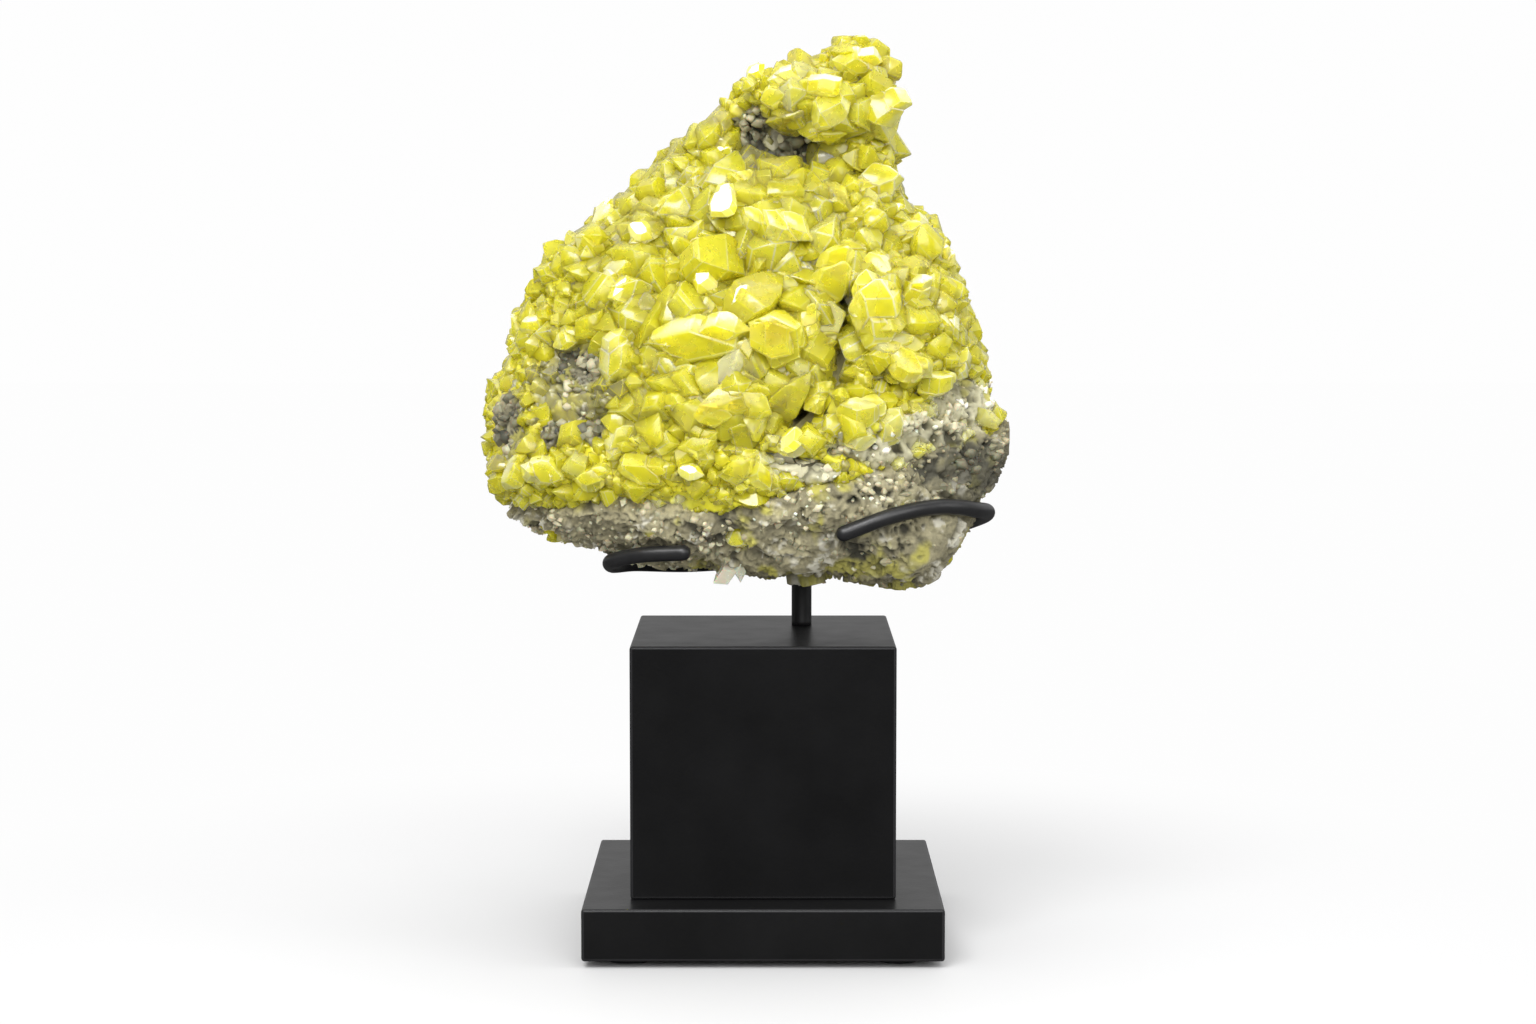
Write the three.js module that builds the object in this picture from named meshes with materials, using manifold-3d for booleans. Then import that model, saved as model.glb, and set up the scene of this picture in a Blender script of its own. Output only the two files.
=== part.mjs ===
// A native sulfur specimen on its display stand: yellow crystals grown over one lump of porous matrix
// rock, cradled by bent steel arms on a post, above a black block and base plate.
//
// Millimetres, +Z up, the front faces -Y. The origin is on the surface that the feet stand on, under
// the middle of the whole object's box.

import * as THREE from 'three';
import { mergeVertices } from 'three/addons/utils/BufferGeometryUtils.js';
import Module from 'manifold-3d';

const wasm = await Module();
wasm.setup();

// ---------------------------------------------------------------- driving dimensions

// The stand. Its centre line is to the right of the stone's middle, because the stone leans left.
const standX = 5.5;
const footRadius = 7;
const footHeight = 2;
const footInset = 13;
const plateSide = 102.6;
const plateThickness = 15;
const blockSide = 76;
const blockHeight = 72.85;
const brokenEdge = 0.8;

// The steel armature: a post behind the block's centre, and three arms that branch from its head.
const postRadius = 3;
const postRight = 11.5;
const postBehind = 13.5;
const postHeadZ = 109.6;
const armRadius = 2.25;
const armSides = 8;
const armSteps = 15;

// The stone. Fit is the clearance that separates two bodies which touch.
const fit = 0.3;
const crustThickness = 5;
const stoneCentre = new THREE.Vector3(0, 0, 168);
const bodyDetail = 8;
const coreDetail = 5;
const lumpDetail = 2;
const coreLumpDetail = 1;
const bumpHeight = 1.1;
const bumpLength = 26;

// Front elevation of the main lump, x and z, anticlockwise from the right-hand side.
const stoneOutline = [
  [77.3, 143], [77.3, 153], [72, 167], [68.5, 177], [62.5, 193], [60, 202], [48, 215], [44, 227],
  [36, 236], [14, 243], [-8, 240], [-20, 231], [-36, 217], [-50, 206.5], [-56, 197], [-67, 184],
  [-69.5, 172], [-77, 160], [-77, 147], [-73.5, 134], [-66, 122], [-57, 118], [-42, 115],
  [-27, 110.5], [-13, 108.5], [0, 107.5], [13, 104.5], [26, 107], [48, 105], [55, 108],
  [59, 113], [64, 120], [71, 130],
];

// How far the main lump reaches forward and back at each height: z, front y, back y.
const depthStations = [
  [102, -37, 20], [112, -49, 37], [128, -54, 46], [146, -52, 49], [168, -46, 49],
  [190, -38, 44], [212, -27, 36], [244, -15, 20],
];

// Rounded lumps that stand out of the main one: centre and half-sizes.
const lumps = [
  { centre: [46, -20, 176], half: [19, 23, 26] },
  { centre: [35, -27, 153], half: [22, 22, 12] },
  { centre: [-56, -22, 141], half: [17, 20, 15] },
  { centre: [-44, -8, 189], half: [17, 20, 19] },
  { centre: [6, -12, 205], half: [24, 20, 20] },
  { centre: [33, 0, 229], half: [12, 15, 12] },
  { centre: [3, 0, 239.5], half: [11, 13, 10] },
  { centre: [20.5, -2, 244], half: [25.5, 18, 13.5] },
  { centre: [31.5, -1, 253], half: [11.5, 13, 11.5] },
];

// Bare rock starts below and behind these planes: a point on each, and its outward normal.
const bareRock = [
  { point: [0, 0, 128.5], normal: [0, 0, -1] },
  { point: [0, 0, 131], normal: [0.28, 0, -1] },
  { point: [0, 15, 168], normal: [0, 1, -0.12] },
];

// The largest crystals: x, z, length, how the long axis turns in the face, and how it leans out.
const largeCrystals = [
  [-12, 178, 21, 4, 5], [9, 176.5, 24, -14, 8], [26, 192, 22, 18, 12], [6, 209, 19, -12, 15],
  [-1, 170, 15, 60, 20], [-7, 160, 22, 38, 12], [-15, 152, 20, -20, 10], [38, 183, 24, 96, 12],
  [45, 169, 17, 150, 18], [51, 160, 16, 40, 15], [21, 159, 18, 20, 22], [-44, 204, 15, 55, 30],
  [41, 222, 15, 80, 20], [30, 217, 17, -32, 18], [-30, 204, 13, 40, 32], [34, 203, 17, 70, 12],
  [53, 200, 14, 120, 22], [16, 202, 15, 10, 25], [-7, 212, 14, 75, 35], [-9, 194, 15, 100, 30],
  [0, 185, 14, 45, 30], [-24, 195, 17, 20, 12], [-5, 141, 19, -35, 14], [13, 148, 14, 70, 20],
  [-29, 149, 18, 30, 12], [-57, 187, 13, 60, 25], [-57, 138, 14, 85, 25], [-40, 138, 15, 15, 20],
  [31, 257, 13, 85, 20], [20, 249, 17, -18, 15], [10, 250, 15, 10, 20], [25, 241, 17, 70, 15],
  [38, 243, 16, 95, 15], [40, 252, 12, 60, 25], [3, 246, 13, 120, 20], [39, 236, 13, 80, 20],
];
const crystalSlimness = 0.62;
const crystalSunk = 0.3;

// A pale calcite crystal under the front edge: centre, edge length and turn of each of its blades.
const calciteBlades = [
  { centre: [-5, -31, 110.2], edge: 4.6, turn: [0.3, 0.5, 0.2] },
  { centre: [-1.6, -30, 111.4], edge: 3.4, turn: [0.9, -0.4, 0.7] },
];

// ---------------------------------------------------------------- finishes

function finish(colour, roughness, metalness = 0) {
  return new THREE.MeshStandardMaterial({ color: colour, roughness, metalness });
}

const blackLacquer = finish(0x1b1b1c, 0.45);
const blackSteel = finish(0x151516, 0.5, 0.4);
const softPad = finish(0x1d1d1d, 0.9);
const greyRock = finish(0x827b5f, 0.95);
const sulfurYellow = finish(0xd6cd4c, 0.35);
const paleCalcite = finish(0xb9b2a6, 0.4);

// ---------------------------------------------------------------- solids

// A closed geometry as a solid that can be joined and cut.
function solidOf(geometry) {
  const bare = geometry.clone();
  bare.deleteAttribute('normal');
  bare.deleteAttribute('uv');
  const merged = mergeVertices(bare);
  const corners = merged.index.array;
  const kept = [];
  for (let i = 0; i < corners.length; i += 3) {
    const [a, b, c] = corners.slice(i, i + 3);
    if (a !== b && b !== c && c !== a) kept.push(a, b, c);
  }
  return new wasm.Manifold(new wasm.Mesh({
    numProp: 3,
    vertProperties: new Float32Array(merged.attributes.position.array),
    triVerts: new Uint32Array(kept),
  }));
}

function geometryOf(solid) {
  const { vertProperties, triVerts } = solid.getMesh();
  const geometry = new THREE.BufferGeometry();
  geometry.setAttribute('position', new THREE.BufferAttribute(vertProperties, 3));
  geometry.setIndex(new THREE.BufferAttribute(triVerts, 1));
  geometry.computeVertexNormals();
  return geometry;
}

function joined(solids) {
  return solids.reduce((whole, next) => whole.add(next));
}

// Everything on the far side of a plane, out to well past the object.
function halfSpace(point, normal, setBack) {
  const reach = 400;
  const away = new THREE.Vector3(...normal).normalize();
  const box = new THREE.BoxGeometry(reach, reach, reach);
  box.translate(0, 0, reach / 2 + setBack);
  box.applyQuaternion(new THREE.Quaternion().setFromUnitVectors(new THREE.Vector3(0, 0, 1), away));
  box.translate(...point);
  return solidOf(box);
}

// ---------------------------------------------------------------- stand

// A square slab with its edges broken, standing on z = 0.
function slab(side, height) {
  const half = side / 2 - brokenEdge;
  const square = new THREE.Shape([
    new THREE.Vector2(-half, -half),
    new THREE.Vector2(half, -half),
    new THREE.Vector2(half, half),
    new THREE.Vector2(-half, half),
  ]);
  const geometry = new THREE.ExtrudeGeometry(square, {
    depth: height - 2 * brokenEdge,
    bevelThickness: brokenEdge,
    bevelSize: brokenEdge,
    bevelSegments: 2,
  });
  geometry.translate(0, 0, brokenEdge);
  return geometry;
}

function foot() {
  const edge = 0.4;
  const profile = [
    new THREE.Vector2(0, 0),
    new THREE.Vector2(footRadius - edge, 0),
    new THREE.Vector2(footRadius, edge),
    new THREE.Vector2(footRadius, footHeight),
    new THREE.Vector2(0, footHeight),
  ];
  const geometry = new THREE.LatheGeometry(profile, 12);
  geometry.rotateX(Math.PI / 2);
  return geometry;
}

const plateZ = footHeight;
const blockZ = plateZ + plateThickness;
const blockTopZ = blockZ + blockHeight;
const postX = standX + postRight;

function post() {
  const height = postHeadZ - blockTopZ;
  const geometry = new THREE.CylinderGeometry(postRadius, postRadius, height, 20);
  geometry.rotateX(Math.PI / 2);
  geometry.translate(postX, postBehind, blockTopZ + height / 2);
  return geometry;
}

// A bent rod with a rounded tip. The points run from the post's head to the tip.
function bentRod(points, radius) {
  const stops = points.map((point) => new THREE.Vector3(...point));
  const path = new THREE.CatmullRomCurve3(stops, false, 'centripetal');
  const section = new THREE.Shape();
  section.absarc(0, 0, radius, 0, 2 * Math.PI, false);
  const rod = new THREE.ExtrudeGeometry(section, {
    steps: armSteps,
    curveSegments: armSides / 2,
    extrudePath: path,
  });
  const tip = new THREE.IcosahedronGeometry(radius, 1);
  tip.translate(...points[points.length - 1]);
  return solidOf(rod).add(solidOf(tip));
}

// Each arm's centre line, from the post's head to the tip. It leaves the post straight.
const headClear = postRadius + fit;
const headStraight = headClear + 3;
const headZ = 107.3;
const armPaths = {
  arm_left: [
    [postX - headClear, postBehind, headZ], [postX - headStraight, postBehind, headZ],
    [2, 12, 108.8], [-18, 4, 109], [-32, -8, 110.5], [-38, -22, 111.5], [-37, -33, 114],
    [-29.5, -38, 116], [-17, -41.5, 117],
  ],
  arm_right: [
    [postX + headClear, postBehind, headZ], [postX + headStraight, postBehind, headZ],
    [34, 14, 108.4], [47, 15, 112.6], [59, 12, 118.4], [67.5, 2, 122.4], [70.5, -12, 125.4],
    [69.8, -22, 127.2], [66, -32, 128.4], [61, -38, 129.6], [53, -43.5, 130], [42, -47, 128],
    [28, -48, 123],
  ],
  arm_rear: [
    [postX, postBehind + headClear, headZ], [postX, postBehind + headStraight, headZ],
    [16, 26, 113.5], [13.5, 34, 120], [10.5, 40.5, 127], [8, 46.5, 136.5], [6.5, 49.5, 147],
  ],
};

// ---------------------------------------------------------------- stone

function depthAt(z) {
  const last = depthStations.length - 1;
  const upper = depthStations.findIndex(([height]) => height > z);
  const high = upper < 0 ? last : Math.max(upper, 1);
  const [z0, front0, back0] = depthStations[high - 1];
  const [z1, front1, back1] = depthStations[high];
  const share = THREE.MathUtils.clamp((z - z0) / (z1 - z0), 0, 1);
  return {
    front: THREE.MathUtils.lerp(front0, front1, share),
    back: THREE.MathUtils.lerp(back0, back1, share),
  };
}

// Gentle swells over the whole stone, between -1 and 1.
function swell(p) {
  const k = (2 * Math.PI) / bumpLength;
  const along = Math.sin(k * p.x + 1.3 * Math.sin(k * 0.6 * p.z));
  const across = Math.sin(k * 1.2 * p.z + 1.1 * Math.sin(k * 0.7 * p.y));
  return 0.6 * along * across + 0.4 * Math.sin(k * 1.7 * p.y + k * p.x);
}

const outlineCurve = new THREE.CatmullRomCurve3(
  stoneOutline.map(([x, z]) => new THREE.Vector3(x, 0, z)), true, 'centripetal',
);

// The main lump: a pillow whose front elevation is the outline, drawn in by inset all round. Its
// underside rises towards the back, where the arms branch, and its lower right corner keeps forward
// of the arm that passes behind it.
function mainLump(inset, detail) {
  const fullness = 0.88;
  const boxiness = 0.58;
  const undersideRise = 0.13;
  const cornerForward = 15;
  const sideTaper = 0.14;
  const geometry = new THREE.IcosahedronGeometry(1, detail);
  const position = geometry.attributes.position;
  for (let i = 0; i < position.count; i += 1) {
    const direction = new THREE.Vector3().fromBufferAttribute(position, i);
    const spread = Math.min(1, Math.hypot(direction.x, direction.z));
    const turn = Math.atan2(direction.z, direction.x) / (2 * Math.PI);
    const rim = outlineCurve.getPointAt((turn + 1) % 1).sub(stoneCentre);
    rim.setLength(rim.length() - inset);
    const point = rim.multiplyScalar(spread ** fullness).add(stoneCentre);
    const { front, back } = depthAt(point.z);
    const middle = (front + back) / 2;
    const taper = 1 - sideTaper * (point.x / stoneOutline[0][0]) ** 2;
    const halfDepth = taper * (back - front) / 2 - inset;
    const bulge = Math.sqrt(Math.max(0, 1 - spread ** 2)) ** boxiness;
    point.y = middle + Math.sign(direction.y) * halfDepth * bulge;
    const lowness = 1 - THREE.MathUtils.smoothstep(point.z, 108, 140);
    point.z += undersideRise * Math.max(0, point.y + 14) * lowness;
    point.y -= cornerForward * lowness * THREE.MathUtils.smoothstep(point.x, 22, 62);
    const outwards = point.clone().sub(stoneCentre).normalize();
    point.addScaledVector(outwards, bumpHeight * (swell(point) - 1) * 0.5);
    position.setXYZ(i, point.x, point.y, point.z);
  }
  return solidOf(geometry);
}

function roundLump({ centre, half }, inset, detail) {
  const geometry = new THREE.IcosahedronGeometry(1, detail);
  geometry.scale(...half.map((size) => size - inset));
  geometry.translate(...centre);
  return solidOf(geometry);
}

function stoneForm(inset, mainDetail, roundDetail) {
  const rounds = lumps.map((lump) => roundLump(lump, inset, roundDetail));
  return joined([mainLump(inset, mainDetail), ...rounds]);
}

// A four-sided bipyramid with cut tips, the usual habit of sulfur, with its long axis along Z.
function crystal(length) {
  const radius = (length / 2) * crystalSlimness;
  const tip = radius * 0.35;
  const profile = [
    new THREE.Vector2(0, -length / 2),
    new THREE.Vector2(tip, -length / 2),
    new THREE.Vector2(radius, 0),
    new THREE.Vector2(tip, length / 2),
    new THREE.Vector2(0, length / 2),
  ];
  const geometry = new THREE.LatheGeometry(profile, 4);
  geometry.rotateX(Math.PI / 2);
  geometry.scale(1, 0.81, 1);
  return geometry;
}

// Each large crystal is sunk into the front of the crust where its x and z meet it.
function largeCrystalSolids(form) {
  const target = new THREE.Mesh(geometryOf(form), sulfurYellow);
  return largeCrystals.map(([x, z, length, turn, lean]) => {
    const ray = new THREE.Raycaster(new THREE.Vector3(x, -200, z), new THREE.Vector3(0, 1, 0));
    const surface = ray.intersectObject(target)[0].point;
    const geometry = crystal(length);
    geometry.rotateX(THREE.MathUtils.degToRad(lean));
    geometry.rotateY(THREE.MathUtils.degToRad(90 - turn));
    const sink = (length / 2) * crystalSlimness * crystalSunk;
    geometry.translate(x, surface.y + sink, z);
    return solidOf(geometry);
  });
}

// A calcite blade is a cube drawn out along one diagonal.
function calciteBlade({ centre, edge, turn }) {
  const geometry = new THREE.BoxGeometry(edge, edge, edge);
  geometry.applyMatrix4(new THREE.Matrix4().makeShear(0.25, 0.2, 0.25, 0.2, 0.2, 0.25));
  geometry.applyQuaternion(new THREE.Quaternion().setFromEuler(new THREE.Euler(...turn)));
  geometry.translate(...centre);
  return solidOf(geometry);
}

// ---------------------------------------------------------------- the stone, cut to its pieces

const fullForm = stoneForm(0, bodyDetail, lumpDetail);
const armClearance = joined(Object.values(armPaths).map((path) => bentRod(path, armRadius + fit)));
const bareRegion = joined(bareRock.map(({ point, normal }) => halfSpace(point, normal, 0)));
const bareRegionInner = joined(bareRock.map(({ point, normal }) => halfSpace(point, normal, fit)));

const matrixRock = stoneForm(crustThickness, coreDetail, coreLumpDetail)
  .add(fullForm.intersect(bareRegionInner))
  .subtract(armClearance);
const sulfurCrust = joined([fullForm, ...largeCrystalSolids(fullForm)])
  .subtract(bareRegion)
  .subtract(stoneForm(crustThickness - fit, coreDetail, coreLumpDetail));
const calcite = joined(calciteBlades.map(calciteBlade))
  .subtract(fullForm)
  .subtract(armClearance);

// ---------------------------------------------------------------- assembly

const group = new THREE.Group();

function place(name, geometry, material, position = [0, 0, 0]) {
  const mesh = new THREE.Mesh(geometry, material);
  mesh.name = name;
  mesh.position.set(...position);
  group.add(mesh);
}

const footReach = plateSide / 2 - footInset;
for (const [depthName, depthSign] of [['front', -1], ['back', 1]]) {
  for (const [sideName, sideSign] of [['left', -1], ['right', 1]]) {
    const corner = [standX + sideSign * footReach, depthSign * footReach, 0];
    place(`foot_${depthName}_${sideName}`, foot(), softPad, corner);
  }
}
place('base_plate', slab(plateSide, plateThickness), blackLacquer, [standX, 0, plateZ]);
place('riser_block', slab(blockSide, blockHeight), blackLacquer, [standX, 0, blockZ]);
place('post', post(), blackSteel);
for (const [name, path] of Object.entries(armPaths)) {
  place(name, geometryOf(bentRod(path, armRadius)), blackSteel);
}
place('matrix_rock', geometryOf(matrixRock), greyRock);
place('sulfur_crust', geometryOf(sulfurCrust), sulfurYellow);
place('calcite_crystal', geometryOf(calcite), paleCalcite);

export default group;
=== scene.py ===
import math

import bmesh
import bpy
import numpy as np
from mathutils import Euler, Matrix, Vector
from mathutils.bvhtree import BVHTree
from mathutils.kdtree import KDTree


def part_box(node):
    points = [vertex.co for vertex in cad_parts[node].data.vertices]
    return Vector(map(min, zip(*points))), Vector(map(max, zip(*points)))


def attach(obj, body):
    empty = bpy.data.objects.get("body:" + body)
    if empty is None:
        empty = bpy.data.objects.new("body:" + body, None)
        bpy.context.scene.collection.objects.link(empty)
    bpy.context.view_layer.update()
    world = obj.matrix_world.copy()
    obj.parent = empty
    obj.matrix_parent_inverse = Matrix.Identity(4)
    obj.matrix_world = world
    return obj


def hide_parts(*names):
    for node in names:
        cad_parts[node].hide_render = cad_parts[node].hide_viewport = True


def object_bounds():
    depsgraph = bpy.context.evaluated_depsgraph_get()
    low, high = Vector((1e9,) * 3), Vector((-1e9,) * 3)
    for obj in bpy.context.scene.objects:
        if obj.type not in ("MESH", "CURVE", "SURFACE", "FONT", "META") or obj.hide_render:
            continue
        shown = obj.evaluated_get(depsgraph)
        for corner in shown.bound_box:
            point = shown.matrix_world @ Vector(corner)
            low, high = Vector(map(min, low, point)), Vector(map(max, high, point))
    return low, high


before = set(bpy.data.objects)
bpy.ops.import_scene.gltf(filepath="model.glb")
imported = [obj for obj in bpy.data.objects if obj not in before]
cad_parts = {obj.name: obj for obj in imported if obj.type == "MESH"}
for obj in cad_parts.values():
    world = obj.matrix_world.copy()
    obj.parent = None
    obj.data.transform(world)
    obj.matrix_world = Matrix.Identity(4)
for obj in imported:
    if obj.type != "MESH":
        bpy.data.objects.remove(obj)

cad_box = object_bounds()
scene = bpy.context.scene
MM = 0.001

# --- View and studio ---
# A long lens a little above the specimen, looking slightly down at the crystal face. The studio is a
# white sweep with a key light high on the left and broader ones in front, overhead and on the right.

lens_mm = 70.08
eye = Vector((6.9, -880.9, 199.2)) * MM
look_down = math.radians(4.811)

camera = bpy.data.objects.new("camera", bpy.data.cameras.new("camera"))
camera.data.lens = lens_mm
camera.data.sensor_width = 36.0
camera.location = eye
camera.rotation_euler = Euler((math.pi / 2 - look_down, 0.0, 0.0))
scene.collection.objects.link(camera)
scene.camera = camera
scene.view_settings.view_transform = "Standard"
scene.view_settings.look = "None"


def soft_light(name, place, size, power):
    """A rectangular light that points at the middle of the stone."""
    lamp = bpy.data.lights.new(name, "AREA")
    lamp.shape = "RECTANGLE"
    lamp.size, lamp.size_y = size
    lamp.energy = power
    holder = bpy.data.objects.new(name, lamp)
    holder.location = place
    aim = stone_middle - Vector(place)
    holder.rotation_euler = aim.to_track_quat("-Z", "Y").to_euler()
    scene.collection.objects.link(holder)


stone_middle = Vector((0.0, 0.0, 0.17))
key_place = Vector((-0.35, -0.80, 1.00))
soft_light("key_light", key_place, (0.55, 0.4), 10.0)
soft_light("front_light", (0.2, -1.25, 0.72), (1.3, 0.8), 13.1)
soft_light("top_light", (0.1, 0.15, 1.3), (1.2, 1.0), 4.0)
soft_light("side_light", (1.1, -0.35, 0.55), (0.5, 0.7), 2.6)


def node_maker(tree):
    """Returns a function that adds a node and sets its fields and its inputs, by name or as i0, i1, i2."""
    def add(kind, fields=None, **inputs):
        node = tree.nodes.new(kind)
        for field, value in (fields or {}).items():
            setattr(node, field, value)
        for name, value in inputs.items():
            numbered = name[1:].isdigit()
            socket = node.inputs[int(name[1:]) if numbered else name.replace("_", " ")]
            if isinstance(value, bpy.types.NodeSocket):
                tree.links.new(value, socket)
            else:
                socket.default_value = value
        return node
    return add


def scaled(add, value, low, high, start=0.0, end=1.0):
    """The value, which runs from start to end, made to run from low to high."""
    return add("ShaderNodeMapRange", i0=value, i1=start, i2=end, i3=low, i4=high).outputs[0]


def maths(add, operation, *values):
    inputs = {f"i{place}": value for place, value in enumerate(values)}
    return add("ShaderNodeMath", {"operation": operation}, **inputs).outputs[0]


def colour_mix(add, share, first, second):
    return add("ShaderNodeMix", {"data_type": "RGBA"}, i0=share, i6=first, i7=second).outputs[2]


def studio_sky():
    """White to the eye. Glossy surfaces see it darken below and in front, so black lacquer stays black."""
    world = bpy.data.worlds.new("studio")
    world.use_nodes = True
    world.node_tree.nodes.clear()
    add = node_maker(world.node_tree)
    coords = add("ShaderNodeTexCoord")
    axes = add("ShaderNodeSeparateXYZ", Vector=coords.outputs["Generated"])
    height = scaled(add, axes.outputs["Z"], 0.12, 0.80, start=-0.35, end=0.7)
    behind = scaled(add, axes.outputs["Y"], 0.30, 1.19, start=-0.4, end=0.6)
    glow = maths(add, "MULTIPLY", height, behind)
    even = scaled(add, axes.outputs["Z"], 0.85, 1.0, start=-0.5, end=0.8)
    seen = add("ShaderNodeLightPath")
    level = add("ShaderNodeMix", {"data_type": "FLOAT"}, i0=seen.outputs["Is Glossy Ray"], i2=even, i3=glow)
    soft_sky = add("ShaderNodeBackground", Color=(1, 1, 1, 1), Strength=level.outputs[0])
    paper_white = add("ShaderNodeBackground", Color=(1, 1, 1, 1), Strength=0.99)
    sky = add("ShaderNodeMixShader", i0=seen.outputs["Is Camera Ray"], i1=soft_sky.outputs[0],
              i2=paper_white.outputs[0])
    add("ShaderNodeOutputWorld", Surface=sky.outputs[0])
    return world


scene.world = studio_sky()


def material(name):
    """A new node material without nodes, and its node maker."""
    made = bpy.data.materials.new(name)
    made.use_nodes = True
    made.node_tree.nodes.clear()
    return made, node_maker(made.node_tree)


def finished_mesh(name, shape):
    mesh = bpy.data.meshes.new(name)
    shape.to_mesh(mesh)
    shape.free()
    return mesh


def new_object(name, mesh, made=None, smooth=False):
    thing = bpy.data.objects.new(name, mesh)
    scene.collection.objects.link(thing)
    if made:
        mesh.materials.clear()
        mesh.materials.append(made)
    if smooth:
        mesh.polygons.foreach_set("use_smooth", [True] * len(mesh.polygons))
    return thing


def white_paper():
    """Fades into the white surround away from the stand. It sends less light back than the eye sees."""
    made, add = material("paper_floor")
    shader = add("ShaderNodeBsdfPrincipled", Base_Color=(0.565, 0.565, 0.567, 1), Roughness=0.6,
                 Specular_IOR_Level=0.2)
    place = add("ShaderNodeTexCoord")
    distance = add("ShaderNodeVectorMath", {"operation": "LENGTH"}, i0=place.outputs["Object"])
    fade = add("ShaderNodeMapRange", {"interpolation_type": "SMOOTHSTEP"}, i0=distance.outputs["Value"],
               i1=0.08, i2=0.30)
    lit = add("ShaderNodeEmission", Color=(0.985, 0.985, 0.985, 1))
    blend = add("ShaderNodeMixShader", i0=fade.outputs[0], i1=shader.outputs[0], i2=lit.outputs[0])
    seen = add("ShaderNodeLightPath")
    card = colour_mix(add, seen.outputs["Is Glossy Ray"], (0.50, 0.50, 0.50, 1), (0.07, 0.07, 0.07, 1))
    dim = add("ShaderNodeBsdfDiffuse", Color=card)
    floor_look = add("ShaderNodeMixShader", i0=seen.outputs["Is Camera Ray"], i1=dim.outputs[0],
                     i2=blend.outputs[0])
    add("ShaderNodeOutputMaterial", Surface=floor_look.outputs[0])
    return made


sheet = bmesh.new()
bmesh.ops.create_grid(sheet, x_segments=1, y_segments=1, size=4.0)
floor = new_object("floor", finished_mesh("floor", sheet), white_paper())

# --- Base plate and riser block ---
# Two square pieces of wood, glued one on the other and sprayed with satin black lacquer. Their edges
# are broken by sanding, and the lacquer there is painted a little greyer, partly as wear and partly as a
# painted highlight.

edge_radius = 0.8 * MM
edge_steps = 3


def noise(add, scale, detail, roughness=0.5):
    """Cloudy noise through the piece, from 0 to 1."""
    place = add("ShaderNodeTexCoord").outputs["Object"]
    cloud = add("ShaderNodeTexNoise", Vector=place, Scale=scale, Detail=detail, Roughness=roughness)
    return cloud.outputs["Fac"]


def marked(add, name):
    """A value that the piece's mesh carries at each place."""
    return add("ShaderNodeAttribute", {"attribute_name": name}).outputs["Fac"]


def tone_row(add, value, stops):
    """A colour for the value, from positions and colours in order."""
    ramp = add("ShaderNodeValToRGB", i0=value)
    elements = ramp.color_ramp.elements
    elements[0].position, elements[0].color = stops[0]
    elements[1].position, elements[1].color = stops[-1]
    for position, colour in stops[1:-1]:
        elements.new(position).color = colour
    return ramp.outputs[0]


def relief(add, height, strength, distance):
    return add("ShaderNodeBump", Height=height, Strength=strength, Distance=distance).outputs[0]


def surface(add, **inputs):
    """Ends a material in one shader with these inputs."""
    shader = add("ShaderNodeBsdfPrincipled", **inputs)
    add("ShaderNodeOutputMaterial", Surface=shader.outputs[0])


def lacquered_wood(name, shine):
    made, add = material(name)
    black = tone_row(add, noise(add, 38.0, 5.0),
                     ((0.35, (0.0034, 0.0034, 0.0036, 1)), (0.7, (0.0054, 0.0054, 0.0057, 1))))
    # The edges are greyer: partly wear, partly a painted highlight along them.
    worn = colour_mix(add, marked(add, "edge"), black, (0.016, 0.016, 0.017, 1))
    surface(add, Base_Color=worn, Roughness=scaled(add, noise(add, 120.0, 4.0), 0.29, 0.40),
            Specular_IOR_Level=shine, Normal=relief(add, noise(add, 900.0, 3.0), 0.10, 0.0004))
    return made


def sanded_slab(name, node, finish):
    low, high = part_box(node)
    shape = bmesh.new()
    bmesh.ops.create_cube(shape, size=1.0)
    bmesh.ops.scale(shape, vec=high - low, verts=shape.verts)
    bmesh.ops.translate(shape, vec=(low + high) / 2, verts=shape.verts)
    worn = shape.faces.layers.float.new("edge")
    made = bmesh.ops.bevel(shape, geom=shape.edges[:], offset=edge_radius, segments=edge_steps,
                           profile=0.5, affect="EDGES")
    for face in made["faces"]:
        face[worn] = 1.0
    bmesh.ops.recalc_face_normals(shape, faces=shape.faces)
    piece = new_object(name, finished_mesh(name, shape), finish, smooth=True)
    piece.modifiers.new("crisp_faces", "WEIGHTED_NORMAL").keep_sharp = True
    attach(piece, "root")
    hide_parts(node)


sanded_slab("lacquered_plate", "base_plate", lacquered_wood("plate_lacquer", 0.25))
sanded_slab("lacquered_block", "riser_block", lacquered_wood("block_lacquer", 0.14))

# --- Feet ---
# Four soft black pads stuck under the plate's corners, domed a little at the rim where they meet the
# shelf.

pad_sides = 40


def pad_rubber():
    made, add = material("black_rubber")
    grain = noise(add, 700.0, 2.0)
    tone = colour_mix(add, grain, (0.010, 0.010, 0.010, 1), (0.020, 0.020, 0.020, 1))
    surface(add, Base_Color=tone, Roughness=0.75, Normal=relief(add, grain, 0.2, 0.0002))
    return made


def revolve(profile, sides):
    """A closed turned shape round Z from radius and height pairs that start and end on the axis."""
    shape = bmesh.new()
    corners = [shape.verts.new((radius, 0.0, height)) for radius, height in profile]
    edges = [shape.edges.new(pair) for pair in zip(corners, corners[1:])]
    bmesh.ops.spin(shape, geom=corners + edges, cent=(0, 0, 0), axis=(0, 0, 1), angle=2 * math.pi,
                   steps=sides, use_merge=True, use_duplicate=False)
    bmesh.ops.remove_doubles(shape, verts=shape.verts, dist=1e-6)
    bmesh.ops.recalc_face_normals(shape, faces=shape.faces)
    return shape


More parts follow.
